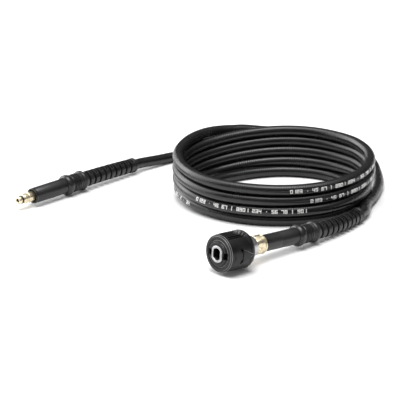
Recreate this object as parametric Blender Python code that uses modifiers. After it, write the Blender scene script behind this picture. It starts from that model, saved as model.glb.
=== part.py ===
"""A coiled high-pressure washer hose: a coil of black rubber hose lying flat, with a brass plug nipple on
one end and a quick coupling with a pull-back collar on the other, each behind a sleeve and a ribbed bend
restrictor. Lengths are in millimetres here and in metres in the scene; +Z is up."""

import math

import bmesh
import bpy
from mathutils import Matrix, Vector

MM = 0.001

# Fits
FACE_GAP = 0.3  # between faces that touch on the real hose
BORE_FIT = 0.3  # radial clearance of a stem or a seal in its seat
SLIDE_FIT = 0.5  # radial clearance of the collar on the coupling's barrel

# Hose
HOSE_OD = 12.7
COIL_RADIUS = 113.0  # to the middle of the hose, across the coil's wide way
COIL_OVAL = 16.0  # by which the coil's other way is narrower
COIL_PITCH = 11.0  # from turn to turn
COIL_TURNS = 5
COIL_WEB = 1.5  # half the thickness left between two turns
COIL_STEPS = 64

# Where the coil's middle and both ends lie. An end is the middle of its sleeve's mouth: x and y as shares of the
# coil's radius and the height, then its heading towards the hose, its drop and its bend in degrees
COIL_X = 84.74
COIL_Y = 68.55
COIL_BACK = -11.0
PLUG_MOUTH = (-2.55, -0.365, 12.7)
PLUG_HEADING = 47.0
PLUG_DROP = 0.0
PLUG_BEND_LEFT = 1.5
PLUG_BEND_DOWN = 3.3
COUPLING_MOUTH = (-0.18, -1.965, 19.4)
COUPLING_HEADING = 42.8
COUPLING_DROP = 4.2
COUPLING_BEND_LEFT = 18.5
COUPLING_BEND_DOWN = -3.0

# Sleeve
SLEEVE_RADIUS = 9.3
SLEEVE_LENGTH = 66.0
SLEEVE_CHAMFER = 1.0
SOCKET_DEPTH = 24.0

# Bend restrictor, with stations measured from the sleeve's mouth towards the hose
FLANGE_1_FRONT = 50.8
FLANGE_1_RADIUS = 12.5
NECK_RADIUS = 10.0
FLANGE_2_FRONT = 73.5
FLANGE_2_RADIUS = 12.1
RIBS_FRONT = 86.0
RIB_RADIUS_FRONT = 9.3
RIB_RADIUS_BACK = 8.6
RIB_PITCH = 9.0
RIB_COUNT = 9
RIB_SLOT = 2.0
RIB_SLOT_DEPTH = 1.8
END_COLLAR = 8.0
RESTRICTOR_END = RIBS_FRONT + RIB_PITCH * RIB_COUNT + END_COLLAR

# Brass plug nipple
NIPPLE_REACH = 23.3
NIPPLE_TIP_RADIUS = 4.6
NIPPLE_BODY_RADIUS = 6.3
NIPPLE_STEM_RADIUS = 5.0
NIPPLE_BORE_RADIUS = 2.1
NIPPLE_BORE_DEPTH = 14.0
SEAL_GROOVE_FRONT = 4.4
SEAL_GROOVE_WIDTH = 2.4
SEAL_GROOVE_RADIUS = 3.3
SEAL_OUTER_RADIUS = 5.1

# Coupling, with stations measured from the sleeve's mouth away from the hose
COLLAR_FACE = 66.0
COLLAR_LENGTH = 38.0
COLLAR_RADIUS = 21.7
COLLAR_FACE_RADIUS = 20.7
COLLAR_TRAVEL = 7.0
BODY_RING_RADIUS = 9.4
BODY_RING_PROUD = 3.0
BODY_SOCKET_RADIUS = 7.2
BODY_SOCKET_DEPTH = 26.0
BODY_SHOULDER = COLLAR_FACE - 12.0
BODY_RADIUS = 11.6
BODY_REAR = 16.0
STEM_NUT_RADIUS = 10.6
STEM_RADIUS = 6.0
STEM_REACH = 11.0  # of each end of the stem into the body and the sleeve
SLOT_OFFSET = 12.4
SLOT_WIDTH = 3.6
SLOT_HEIGHT = 5.4
SLOT_DEPTH = 3.6
RECESS_RIM = 7.5  # of full height left behind a grip recess
RECESS_FRONT = 4.0  # of full height left in front of it
RECESS_DEPTH = 4.0
RECESS_WIDTH = 20.0


def clear_scene():
    for obj in list(bpy.data.objects):
        bpy.data.objects.remove(obj, do_unlink=True)


def collection_of(name, hidden=False):
    made = bpy.data.collections.new(name)
    bpy.context.scene.collection.children.link(made)
    made.hide_render = hidden
    return made


def material(name, colour, roughness, metallic=0.0):
    made = bpy.data.materials.new(name)
    made.use_nodes = True
    shader = made.node_tree.nodes["Principled BSDF"]
    shader.inputs["Base Color"].default_value = (*colour, 1.0)
    shader.inputs["Roughness"].default_value = roughness
    shader.inputs["Metallic"].default_value = metallic
    made.diffuse_color = (*colour, 1.0)
    return made


def turned(name, points, into, steps, closed=False):
    """A profile of (radius, height) points turned round Z by a Screw, as a plain mesh. An open profile begins
    and ends on the axis."""
    mesh = bpy.data.meshes.new(name)
    count = len(points)
    edges = [(i, i + 1) for i in range(count - 1)] + ([(count - 1, 0)] if closed else [])
    mesh.from_pydata([(r * MM, 0.0, z * MM) for r, z in points], edges, [])
    obj = bpy.data.objects.new(name, mesh)
    into.objects.link(obj)
    screw = obj.modifiers.new("Turn", "SCREW")
    screw.axis = "Z"
    screw.angle = math.tau
    screw.steps = steps
    screw.render_steps = steps
    screw.use_merge_vertices = True
    screw.merge_threshold = 0.00001
    bpy.context.view_layer.update()
    graph = bpy.context.evaluated_depsgraph_get()
    solid = bpy.data.meshes.new_from_object(obj.evaluated_get(graph))
    solid.name = name
    shape = bmesh.new()
    shape.from_mesh(solid)
    bmesh.ops.recalc_face_normals(shape, faces=shape.faces)
    shape.to_mesh(solid)
    shape.free()
    obj.modifiers.clear()
    obj.data = solid
    return obj


def finish(obj, look, sharp=35.0):
    obj.data.materials.clear()
    obj.data.materials.append(look)
    obj.data.shade_smooth()
    obj.data.set_sharp_from_angle(angle=math.radians(sharp))


def take(obj, into):
    """Moves an object that a primitive made into the right collection."""
    for owner in list(obj.users_collection):
        owner.objects.unlink(obj)
    into.objects.link(obj)
    return obj


def cut_box(obj, name, place, centre, size):
    """Cuts a box of this size, given in the frame of place, from the object."""
    bpy.ops.mesh.primitive_cube_add(size=1.0)
    box = take(bpy.context.active_object, cutters)
    box.name = name
    box.matrix_world = (
        place
        @ Matrix.Translation(Vector(centre) * MM)
        @ Matrix.Diagonal((size[0] * MM, size[1] * MM, size[2] * MM, 1.0))
    )
    box.hide_render = True
    box.display_type = "WIRE"
    step = obj.modifiers.new("Cut_" + name, "BOOLEAN")
    step.operation = "DIFFERENCE"
    step.solver = "EXACT"
    step.object = box


def arm_frame(mouth, heading, drop):
    """The frame of an arm at its sleeve's mouth: +Z out of the free end, +X to the right of someone who looks
    along the arm towards the hose, +Y up."""
    turn, dip = math.radians(heading), math.radians(drop)
    out = -Vector((math.cos(turn) * math.cos(dip), math.sin(turn) * math.cos(dip), -math.sin(dip)))
    side = Vector((0.0, 0.0, 1.0)).cross(out).normalized()
    spin = Matrix((side, out.cross(side), out)).transposed().to_4x4()
    place = Vector((mouth[0] * COIL_RADIUS + COIL_X, mouth[1] * COIL_RADIUS + COIL_Y, mouth[2])) * MM
    return Matrix.Translation(place) @ spin


def bent(point, angle, aside):
    """A point of an arm's frame carried along the arc that its ribbed part makes, and the way the arc then goes."""
    start, length = RIBS_FRONT * MM, (RESTRICTOR_END - RIBS_FRONT) * MM
    run = -point.z - start
    if run <= 0.0:
        return point.copy(), Vector((0.0, 0.0, -1.0))
    turn = angle * run / length
    radius = length / angle
    middle = Vector((0.0, 0.0, -start - radius * math.sin(turn))) + aside * radius * (1.0 - math.cos(turn))
    flat = Vector((point.x, point.y, 0.0))
    along = flat.dot(aside)
    outward = aside * math.cos(turn) + Vector((0.0, 0.0, math.sin(turn)))
    way = Vector((0.0, 0.0, -math.cos(turn))) + aside * math.sin(turn)
    return middle + (flat - aside * along) + outward * along, way


def coil_profile():
    """Down the outer side of the stacked turns and up their inner side."""
    half, rise, last = HOSE_OD / 2, COIL_PITCH / 2, COIL_TURNS - 1
    outer, inner = [], []
    for turn in range(last, -1, -1):
        middle = half + turn * COIL_PITCH
        for degrees in (90, 54, 18, -18, -54, -90):
            t = math.radians(degrees)
            free = (turn == last and degrees > 0) or (turn == 0 and degrees < 0)
            height = middle + (half if free else rise) * math.sin(t)
            if abs(degrees) < 90:
                outer.append((COIL_RADIUS + half * math.cos(t), height))
                inner.append((COIL_RADIUS - half * math.cos(t), height))
            elif free:
                outer.append((COIL_RADIUS, height))
            elif degrees < 0:
                outer.append((COIL_RADIUS + COIL_WEB, height))
                inner.append((COIL_RADIUS - COIL_WEB, height))
    return outer + inner[::-1]


def make_oval(obj):
    """Narrows the turned coil the other way and keeps the hose's own thickness."""
    narrow = COIL_RADIUS - COIL_OVAL
    for vertex in obj.data.vertices:
        flat = Vector((vertex.co.x, vertex.co.y, 0.0))
        aside = flat.length - COIL_RADIUS * MM
        way = flat.normalized()
        ring = Vector((COIL_RADIUS * way.x, narrow * way.y, 0.0)) * MM
        away = Vector((way.x / COIL_RADIUS, way.y / narrow, 0.0)).normalized()
        at = ring + away * aside
        vertex.co = (at.x, at.y, vertex.co.z)


def restrictor_profile():
    """From the bottom of the bore that holds the sleeve, round the front and down the outer side to the hose."""
    bore = SLEEVE_RADIUS + FACE_GAP
    points = [
        (0.0, -SLEEVE_LENGTH - FACE_GAP),
        (bore, -SLEEVE_LENGTH - FACE_GAP),
        (bore, -FLANGE_1_FRONT),
        (bore + 0.8, -FLANGE_1_FRONT),
        (FLANGE_1_RADIUS, -FLANGE_1_FRONT - 2.6),
        (FLANGE_1_RADIUS, -FLANGE_1_FRONT - 6.2),
        (NECK_RADIUS + 0.5, -FLANGE_1_FRONT - 10.0),
        (NECK_RADIUS, -FLANGE_1_FRONT - 12.0),
        (NECK_RADIUS, -FLANGE_2_FRONT),
        (FLANGE_2_RADIUS - 1.0, -FLANGE_2_FRONT - 2.0),
        (FLANGE_2_RADIUS, -FLANGE_2_FRONT - 4.0),
        (FLANGE_2_RADIUS, -FLANGE_2_FRONT - 6.5),
        (FLANGE_2_RADIUS - 1.2, -FLANGE_2_FRONT - 8.8),
        (RIB_RADIUS_FRONT, -FLANGE_2_FRONT - 10.0),
    ]
    for rib in range(RIB_COUNT):
        radius = RIB_RADIUS_FRONT + (RIB_RADIUS_BACK - RIB_RADIUS_FRONT) * rib / (RIB_COUNT - 1)
        at = -RIBS_FRONT - RIB_PITCH * rib
        points += [
            (radius, at),
            (radius - RIB_SLOT_DEPTH, at),
            (radius - RIB_SLOT_DEPTH, at - RIB_SLOT),
            (radius, at - RIB_SLOT),
        ]
    points += [
        (RIB_RADIUS_BACK, -RESTRICTOR_END + END_COLLAR),
        (RIB_RADIUS_BACK + 0.4, -RESTRICTOR_END + END_COLLAR - 1.0),
        (RIB_RADIUS_BACK + 0.4, -RESTRICTOR_END + 3.0),
        (RIB_RADIUS_BACK - 1.0, -RESTRICTOR_END),
        (0.0, -RESTRICTOR_END),
    ]
    return points


def restrictor(name, frame, left, down):
    """The bent restrictor. Gives the middle of its end face and the way the hose leaves it."""
    obj = turned(name, restrictor_profile(), parts, 28)
    bend = Vector((-left, -down, 0.0))
    angle, aside = math.radians(bend.length), bend.normalized()
    for vertex in obj.data.vertices:
        vertex.co = bent(vertex.co.copy(), angle, aside)[0]
    obj.matrix_world = frame
    finish(obj, moulded)
    end, way = bent(Vector((0.0, 0.0, -RESTRICTOR_END * MM)), angle, aside)
    return frame @ end, (frame.to_3x3() @ way).normalized()


def sleeve(name, frame, stem_radius):
    socket = stem_radius + BORE_FIT
    points = [
        (0.0, -SOCKET_DEPTH),
        (socket, -SOCKET_DEPTH),
        (socket, 0.0),
        (SLEEVE_RADIUS - SLEEVE_CHAMFER, 0.0),
        (SLEEVE_RADIUS, -SLEEVE_CHAMFER),
        (SLEEVE_RADIUS, -SLEEVE_LENGTH),
        (0.0, -SLEEVE_LENGTH),
    ]
    obj = turned(name, points, parts, 40)
    obj.matrix_world = frame
    finish(obj, moulded)


def smooth_route(points, spacing):
    """A smooth curve through the points, read off at an even spacing."""
    path = [2 * points[0] - points[1], *points, 2 * points[-1] - points[-2]]
    dense = []
    for a, b, c, d in zip(path, path[1:], path[2:], path[3:]):
        for k in range(40):
            t = k / 40
            dense.append(
                0.5
                * (
                    2 * b
                    + (c - a) * t
                    + (2 * a - 5 * b + 4 * c - d) * t**2
                    + (3 * b - a - 3 * c + d) * t**3
                )
            )
    dense.append(points[-1])
    total = sum((q - p).length for p, q in zip(dense, dense[1:]))
    count = max(2, round(total / spacing))
    step = total / count
    route, gone = [dense[0]], 0.0
    for p, q in zip(dense, dense[1:]):
        length = (q - p).length
        while len(route) < count and gone + length >= len(route) * step:
            route.append(p.lerp(q, (len(route) * step - gone) / length))
        gone += length
    return [*route, dense[-1]]


def beside_coil(degrees, outside, height):
    """A point at this bearing round the oval coil. In hose diameters, it lies this far outside a hose that touches
    the coil, and at this height."""
    t = math.radians(degrees)
    narrow = COIL_RADIUS - COIL_OVAL
    ring = Vector((COIL_RADIUS * math.cos(t), narrow * math.sin(t), 0.0))
    away = Vector((math.cos(t) / COIL_RADIUS, math.sin(t) / narrow, 0.0)).normalized()
    middle = Vector((COIL_X, COIL_Y + COIL_BACK, height * HOSE_OD))
    return (middle + ring + away * (HOSE_OD + FACE_GAP + outside * HOSE_OD)) * MM


def tail(name, face_middle, way, route):
    """A loose end of hose, from a restrictor's end face along the route of bearings round the coil."""
    start = face_middle + way * FACE_GAP * MM
    lead = face_middle + way * 9.0 * MM
    points = [beside_coil(*stop) for stop in route]
    points = [start, *smooth_route([lead, *points], 2.0 * HOSE_OD * MM)]
    curve = bpy.data.curves.new(name, "CURVE")
    curve.dimensions = "3D"
    curve.bevel_depth = HOSE_OD / 2 * MM
    curve.bevel_resolution = 3
    curve.use_fill_caps = True
    spline = curve.splines.new("POLY")
    spline.points.add(len(points) - 1)
    for knot, at in zip(spline.points, points):
        knot.co = (*at, 1.0)
    curve.materials.append(rubber)
    obj = bpy.data.objects.new(name, curve)
    parts.objects.link(obj)


clear_scene()
parts = collection_of("pressure_washer_hose")
cutters = collection_of("cutters", hidden=True)

rubber = material("hose_rubber", (0.022, 0.022, 0.023), 0.5)
moulded = material("moulded_black", (0.03, 0.03, 0.031), 0.45)
collar_black = material("collar_black", (0.028, 0.028, 0.029), 0.5)
brass = material("brass", (0.78, 0.6, 0.3), 0.28, 1.0)
steel = material("coupling_metal", (0.72, 0.72, 0.72), 0.3, 1.0)
seal = material("seal_rubber", (0.015, 0.015, 0.015), 0.4)

# Coil
coil = turned("hose_coil", coil_profile(), parts, COIL_STEPS, closed=True)
make_oval(coil)
coil.location = (COIL_X * MM, (COIL_Y + COIL_BACK) * MM, 0.0)
finish(coil, rubber, 60.0)

# Sleeves and bend restrictors of both ends
plug_frame = arm_frame(PLUG_MOUTH, PLUG_HEADING, PLUG_DROP)
coupling_frame = arm_frame(COUPLING_MOUTH, COUPLING_HEADING, COUPLING_DROP)
sleeve("plug_sleeve", plug_frame, NIPPLE_STEM_RADIUS)
sleeve("coupling_sleeve", coupling_frame, STEM_RADIUS)
plug_end, plug_way = restrictor("plug_bend_restrictor", plug_frame, PLUG_BEND_LEFT, PLUG_BEND_DOWN)
coupling_end, coupling_way = restrictor(
    "coupling_bend_restrictor", coupling_frame, COUPLING_BEND_LEFT, COUPLING_BEND_DOWN
)

# Brass nipple: the bore, the tip, the seal's groove, the waisted body and the stem inside the sleeve
groove_top = NIPPLE_REACH - SEAL_GROOVE_FRONT
groove_low = groove_top - SEAL_GROOVE_WIDTH
nipple_points = [
    (0.0, NIPPLE_REACH - NIPPLE_BORE_DEPTH),
    (NIPPLE_BORE_RADIUS, NIPPLE_REACH - NIPPLE_BORE_DEPTH),
    (NIPPLE_BORE_RADIUS, NIPPLE_REACH),
    (NIPPLE_TIP_RADIUS - 0.9, NIPPLE_REACH),
    (NIPPLE_TIP_RADIUS, NIPPLE_REACH - 0.9),
    (NIPPLE_TIP_RADIUS, groove_top),
    (SEAL_GROOVE_RADIUS, groove_top),
    (SEAL_GROOVE_RADIUS, groove_low),
    (NIPPLE_TIP_RADIUS, groove_low),
    (NIPPLE_TIP_RADIUS, groove_low - 1.2),
    (NIPPLE_TIP_RADIUS - 0.9, groove_low - 1.8),
    (NIPPLE_TIP_RADIUS - 0.9, groove_low - 3.4),
    (NIPPLE_BODY_RADIUS - 0.7, groove_low - 4.6),
    (NIPPLE_BODY_RADIUS - 0.7, groove_low - 8.0),
    (NIPPLE_TIP_RADIUS - 0.2, groove_low - 8.6),
    (NIPPLE_TIP_RADIUS - 0.2, groove_low - 10.4),
    (NIPPLE_BODY_RADIUS, groove_low - 11.2),
    (NIPPLE_BODY_RADIUS, FACE_GAP),
    (NIPPLE_STEM_RADIUS, FACE_GAP),
    (NIPPLE_STEM_RADIUS, -SOCKET_DEPTH + 1.0),
    (0.0, -SOCKET_DEPTH + 1.0),
]
nipple = turned("plug_nipple", nipple_points, parts, 36)
nipple.matrix_world = plug_frame
finish(nipple, brass)

seal_thickness = SEAL_OUTER_RADIUS - SEAL_GROOVE_RADIUS - BORE_FIT
bpy.ops.mesh.primitive_torus_add(
    major_radius=(SEAL_OUTER_RADIUS - seal_thickness / 2) * MM,
    minor_radius=seal_thickness / 2 * MM,
    major_segments=28,
    minor_segments=8,
)
o_ring = take(bpy.context.active_object, parts)
o_ring.name = "plug_o_ring"
o_ring.matrix_world = plug_frame @ Matrix.Translation((0.0, 0.0, (groove_top + groove_low) / 2 * MM))
finish(o_ring, seal)

# Coupling body: the socket ring in the face, the barrel that the collar slides on, and the bore for the stem
socket_floor = COLLAR_FACE + BODY_RING_PROUD - BODY_SOCKET_DEPTH
body_points = [
    (0.0, socket_floor),
    (BODY_SOCKET_RADIUS, socket_floor),
    (BODY_SOCKET_RADIUS, COLLAR_FACE + BODY_RING_PROUD),
    (BODY_RING_RADIUS - 0.6, COLLAR_FACE + BODY_RING_PROUD),
    (BODY_RING_RADIUS, COLLAR_FACE + BODY_RING_PROUD - 0.6),
    (BODY_RING_RADIUS, BODY_SHOULDER),
    (BODY_RADIUS, BODY_SHOULDER),
    (BODY_RADIUS, BODY_REAR + 0.8),
    (BODY_RADIUS - 0.8, BODY_REAR),
    (STEM_RADIUS + BORE_FIT, BODY_REAR),
    (STEM_RADIUS + BORE_FIT, BODY_REAR + STEM_REACH + 1.0),
    (0.0, BODY_REAR + STEM_REACH + 1.0),
]
body = turned("coupling_body", body_points, parts, 48)
body.matrix_world = coupling_frame
finish(body, steel)

# Brass stem with its nut, between the body and the sleeve
stem_points = [
    (0.0, BODY_REAR + STEM_REACH),
    (STEM_RADIUS, BODY_REAR + STEM_REACH),
    (STEM_RADIUS, BODY_REAR - FACE_GAP),
    (STEM_NUT_RADIUS - 1.0, BODY_REAR - FACE_GAP),
    (STEM_NUT_RADIUS, BODY_REAR - FACE_GAP - 1.0),
    (STEM_NUT_RADIUS, FACE_GAP + 2.2),
    (SLEEVE_RADIUS - SLEEVE_CHAMFER, FACE_GAP),
    (STEM_RADIUS, FACE_GAP),
    (STEM_RADIUS, -SOCKET_DEPTH + 1.0),
    (0.0, -SOCKET_DEPTH + 1.0),
]
stem = turned("coupling_stem", stem_points, parts, 36)
stem.matrix_world = coupling_frame
finish(stem, brass)

# Collar: it slides back along the barrel, and its origin lies on the barrel's axis
rear = COLLAR_FACE - COLLAR_LENGTH
step_at = BODY_SHOULDER + COLLAR_TRAVEL + FACE_GAP
collar_points = [
    (BODY_RING_RADIUS + SLIDE_FIT, COLLAR_FACE + 1.4),
    (BODY_RING_RADIUS + 3.6, COLLAR_FACE + 1.4),
    (BODY_RING_RADIUS + 4.0, COLLAR_FACE),
    (COLLAR_FACE_RADIUS, COLLAR_FACE),
    (COLLAR_FACE_RADIUS + 1.0, COLLAR_FACE - 1.6),
    (COLLAR_RADIUS, COLLAR_FACE - 8.0),
    (COLLAR_RADIUS, rear + 9.0),
    (COLLAR_RADIUS - 0.8, rear + 4.5),
    (COLLAR_RADIUS - 2.4, rear + 1.4),
    (COLLAR_RADIUS - 4.4, rear),
    (BODY_RADIUS + SLIDE_FIT, rear),
    (BODY_RADIUS + SLIDE_FIT, step_at),
    (BODY_RING_RADIUS + SLIDE_FIT, step_at),
]
collar = turned("coupling_collar", collar_points, parts, 56, closed=True)
collar.matrix_world = coupling_frame
finish(collar, collar_black)
for side, name in ((1, "slot_right"), (-1, "slot_left")):
    cut_box(
        collar,
        name,
        coupling_frame,
        (side * SLOT_OFFSET, 0.0, COLLAR_FACE),
        (SLOT_WIDTH, SLOT_HEIGHT, 2 * SLOT_DEPTH),
    )
recess_length = COLLAR_LENGTH - RECESS_RIM - RECESS_FRONT
for side, name in ((1, "recess_top"), (-1, "recess_low")):
    cut_box(
        collar,
        name,
        coupling_frame,
        (0.0, side * (COLLAR_RADIUS - RECESS_DEPTH + 5.0), rear + RECESS_RIM + recess_length / 2),
        (RECESS_WIDTH, 10.0, recess_length),
    )

# Loose hose from the plug over the floor to the outer side of the coil
tail(
    "hose_tail_outlet",
    plug_end,
    plug_way,
    [
        (132.0, 5.3, 0.5),
        (125.0, 4.8, 0.5),
        (117.0, 4.4, 0.5),
        (109.0, 3.3, 0.5),
        (100.0, 1.7, 0.5),
        (90.0, 0.6, 0.5),
        (80.0, 0.1, 0.5),
        (71.0, 0.0, 0.5),
    ],
)

# Loose hose from the coupling over the floor and up the coil's outer side to its top
tail(
    "hose_tail_inlet",
    coupling_end,
    coupling_way,
    [
        (-22.0, 0.1, 0.5),
        (-6.0, 0.25, 0.5),
        (8.0, 0.5, 0.5),
        (21.0, 1.0, 0.5),
        (36.0, 2.0, 0.8),
        (52.0, 2.75, 1.6),
        (68.0, 2.45, 2.5),
        (84.0, 1.6, 3.3),
        (99.0, 0.55, 3.75),
        (112.0, 0.0, 3.95),
    ],
)
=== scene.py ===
import math

import bmesh
import bpy
import numpy as np
from mathutils import Matrix, Vector

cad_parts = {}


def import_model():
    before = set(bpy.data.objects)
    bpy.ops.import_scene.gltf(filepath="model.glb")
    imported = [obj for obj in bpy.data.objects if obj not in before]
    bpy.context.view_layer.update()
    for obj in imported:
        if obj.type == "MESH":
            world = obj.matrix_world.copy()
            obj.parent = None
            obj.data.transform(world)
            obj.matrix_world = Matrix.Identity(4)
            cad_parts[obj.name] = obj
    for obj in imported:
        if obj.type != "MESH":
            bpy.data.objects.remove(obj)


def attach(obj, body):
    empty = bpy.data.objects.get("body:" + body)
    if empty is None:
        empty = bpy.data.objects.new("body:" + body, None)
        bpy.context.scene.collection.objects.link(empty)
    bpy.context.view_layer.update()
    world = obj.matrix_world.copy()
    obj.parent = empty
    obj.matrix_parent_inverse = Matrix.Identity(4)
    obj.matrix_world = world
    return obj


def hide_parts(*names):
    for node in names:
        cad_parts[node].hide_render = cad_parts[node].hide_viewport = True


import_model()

MM = 0.001
UP = Vector((0.0, 0.0, 1.0))
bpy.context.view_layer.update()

# The middle of the coil in the frame. Every place below is in millimetres from it, as in the part's source.
COIL_X, COIL_Y = 84.74, 68.55
COIL_RADIUS = 113.0

HOSE_OD = 12.7
HOSE_RADIUS = HOSE_OD / 2


def world(at):
    return Vector((at[0] + COIL_X, at[1] + COIL_Y, at[2])) * MM


# Camera: degrees above the floor, distance to the point it aims at, and a long lens on a sensor of this width
ELEVATION = 19.1
DISTANCE = 2400.0
LENS = 179.73
SENSOR = 36.0
AIM = (-88.6, -18.85, 0.0)
FARTHEST = 20.0  # metres

tilt = math.radians(ELEVATION)
camera_data = bpy.data.cameras.new("camera")
camera = bpy.data.objects.new("camera", camera_data)
bpy.context.scene.collection.objects.link(camera)
camera_data.sensor_width = SENSOR
camera_data.lens = LENS
camera_data.clip_end = FARTHEST
camera.location = world(AIM) + Vector((0.0, -math.cos(tilt), math.sin(tilt))) * DISTANCE * MM
camera.rotation_euler = (math.radians(90.0) - tilt, 0.0, 0.0)
bpy.context.scene.camera = camera


# Materials
class Look:
    """A material's nodes, with short calls for the ones that it needs."""

    def __init__(self, name, rough, metal=0.0):
        self.made = bpy.data.materials.new(name)
        self.made.use_nodes = True
        self.tree = self.made.node_tree
        self.shader = self.tree.nodes["Principled BSDF"]
        self.shader.inputs["Roughness"].default_value = rough
        self.shader.inputs["Metallic"].default_value = metal

    def node(self, kind, values=None, **settings):
        made = self.tree.nodes.new(kind)
        for key, value in settings.items():
            setattr(made, key, value)
        for key, value in (values or {}).items():
            self.give(made.inputs[key], value)
        return made

    def give(self, socket, value):
        if isinstance(value, bpy.types.NodeSocket):
            self.tree.links.new(value, socket)
        else:
            socket.default_value = value

    def math(self, operation, first, second=0.0):
        return self.node("ShaderNodeMath", {0: first, 1: second}, operation=operation).outputs[0]

    def noise(self, vector, scale, detail, stretch=(1.0, 1.0, 1.0)):
        placed = self.node("ShaderNodeMapping", {"Vector": vector, "Scale": stretch})
        values = {"Vector": placed.outputs[0], "Scale": scale, "Detail": detail}
        return self.node("ShaderNodeTexNoise", values).outputs[0]

    def span(self, value, low, high, to_low, to_high):
        """The value carried from one range to another, and kept within it."""
        values = {"Value": value, 1: low, 2: high, 3: to_low, 4: to_high}
        return self.node("ShaderNodeMapRange", values).outputs[0]

    def colour(self, share, first, second):
        """The base colour, between two colours by a share from 0 to 1."""
        made = self.node("ShaderNodeMix", data_type="RGBA")
        for index, value in ((0, share), (6, (*first, 1.0)), (7, (*second, 1.0))):
            self.give(made.inputs[index], value)
        self.set("Base Color", made.outputs[2])

    def bump(self, height, depth):
        values = {"Height": height, "Distance": depth * MM, "Strength": 1.0}
        self.set("Normal", self.node("ShaderNodeBump", values).outputs[0])

    def set(self, socket, value):
        self.give(self.shader.inputs[socket], value)

    def place(self):
        return self.node("ShaderNodeTexCoord").outputs["Object"]

    def along_round(self):
        return self.node("ShaderNodeUVMap", uv_map="UVMap").outputs[0]


# Scales of the noise in the materials, in spots a metre
CLOUDS = 60.0
GRAINS = 1800.0
TOOL_LINES = 900.0
DUST = 45.0
FLECKS = 900.0

# Ripples of the hose's skin, in the lengths of 100 mm that its UVs are in
RIPPLE_PITCH = 0.027
RIPPLE_SLANT = 3 * RIPPLE_PITCH
RIPPLE_GRAIN = 0.3
RIPPLE_DEPTH = 0.085  # millimetres


def moulded(name, dark, light, rough, grain=0.03, shine=0.5):
    """Black moulded plastic: fine grain, faint cloudy colour and duller patches of wear."""
    look = Look(name, rough)
    at = look.place()
    cloud = look.noise(at, CLOUDS, 4.0)
    grains = look.noise(at, GRAINS, 2.0)
    look.colour(look.span(cloud, 0.35, 0.65, 0.0, 1.0), dark, light)
    look.set("Roughness", look.span(cloud, 0.3, 0.7, rough - 0.05, rough + 0.07))
    look.set("Specular IOR Level", shine)
    look.bump(grains, grain)
    return look.made


def metal(name, light, shade, rough, patch=180.0):
    """Turned metal: lines round it from the tool, and patches that are a little duller and darker."""
    look = Look(name, rough, metal=1.0)
    at = look.place()
    cloud = look.noise(at, patch, 3.0)
    lines = look.noise(at, TOOL_LINES, 2.0, stretch=(0.08, 0.08, 1.0))
    look.colour(look.span(cloud, 0.35, 0.7, 0.0, 1.0), light, shade)
    look.set("Roughness", look.span(lines, 0.3, 0.7, rough - 0.06, rough + 0.1))
    look.bump(lines, 0.02)
    return look.made


def hose_rubber():
    """Wrapped black rubber: a fine weave of slanting ripples, and dust in patches."""
    look = Look("hose_rubber", 0.42)
    along_round = look.along_round()
    parts = look.node("ShaderNodeSeparateXYZ", {0: along_round})
    along, turn = parts.outputs[0], parts.outputs[1]
    dust = look.noise(look.place(), DUST, 4.0)
    slant = look.math("ADD", along, look.math("MULTIPLY", turn, RIPPLE_SLANT))
    wave = look.math("SINE", look.math("MULTIPLY", slant, math.tau / RIPPLE_PITCH))
    grain = look.noise(along_round, FLECKS, 2.0)
    weave = look.math("ADD", wave, look.math("MULTIPLY", grain, RIPPLE_GRAIN))
    look.colour(look.span(dust, 0.35, 0.7, 0.0, 1.0), (0.005, 0.005, 0.0052), (0.010, 0.010, 0.0103))
    look.set("Roughness", look.span(dust, 0.3, 0.7, 0.21, 0.29))
    look.set("Specular IOR Level", 0.5)
    look.bump(weave, RIPPLE_DEPTH)
    return look.made


def print_ink():
    """Pale ink, rubbed thin in specks."""
    look = Look("print_ink", 0.5)
    rubbed = look.noise(look.place(), FLECKS, 3.0)
    look.colour(look.span(rubbed, 0.4, 0.62, 0.0, 1.0), (0.9, 0.9, 0.88), (0.6, 0.6, 0.59))
    look.set("Roughness", look.span(rubbed, 0.3, 0.7, 0.42, 0.6))
    look.bump(rubbed, 0.02)
    return look.made


black = moulded("moulded_black", (0.011, 0.011, 0.0115), (0.018, 0.018, 0.0185), 0.33)
black_collar = moulded(
    "collar_black", (0.006, 0.006, 0.0062), (0.010, 0.010, 0.0103), 0.34, grain=0.05, shine=0.32
)
# Pale grey for thin lines along the collar's rim, the steps in its face and the arrows' top edges: a painted
# highlight where those edges catch the light.
painted_edge_highlight = moulded("collar_edge_highlight", (0.16, 0.16, 0.162), (0.3, 0.3, 0.304), 0.38, grain=0.05)
brass = metal("brass", (0.93, 0.84, 0.63), (0.5, 0.42, 0.27), 0.36, patch=520.0)
# Near-black brass for the nipple's bore: painted shade inside the hole, where light does not reach.
brass_painted_shade = metal("brass_bore_painted_shade", (0.06, 0.045, 0.02), (0.03, 0.022, 0.01), 0.6)
steel = metal("coupling_metal", (0.66, 0.66, 0.67), (0.5, 0.5, 0.51), 0.38)
ring_steel = metal("ring_metal", (0.5, 0.5, 0.51), (0.36, 0.36, 0.37), 0.42)
# Near-black steel for the inside of the coupling's socket: painted shade in the hole.
steel_painted_shade = metal("socket_metal_painted_shade", (0.07, 0.07, 0.072), (0.03, 0.03, 0.031), 0.6)
seal = moulded("seal_rubber", (0.01, 0.01, 0.01), (0.015, 0.015, 0.015), 0.35)
rubber = hose_rubber()


# Meshes
def keep(name, shape, look, smooth=40.0):
    """Makes an object of the shape, whose edges are sharp past this many degrees."""
    bmesh.ops.recalc_face_normals(shape, faces=shape.faces)
    mesh = bpy.data.meshes.new(name)
    shape.to_mesh(mesh)
    shape.free()
    mesh.materials.append(look)
    mesh.shade_smooth()
    mesh.set_sharp_from_angle(angle=math.radians(smooth))
    obj = bpy.data.objects.new(name, mesh)
    bpy.context.scene.collection.objects.link(obj)
    return obj


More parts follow.
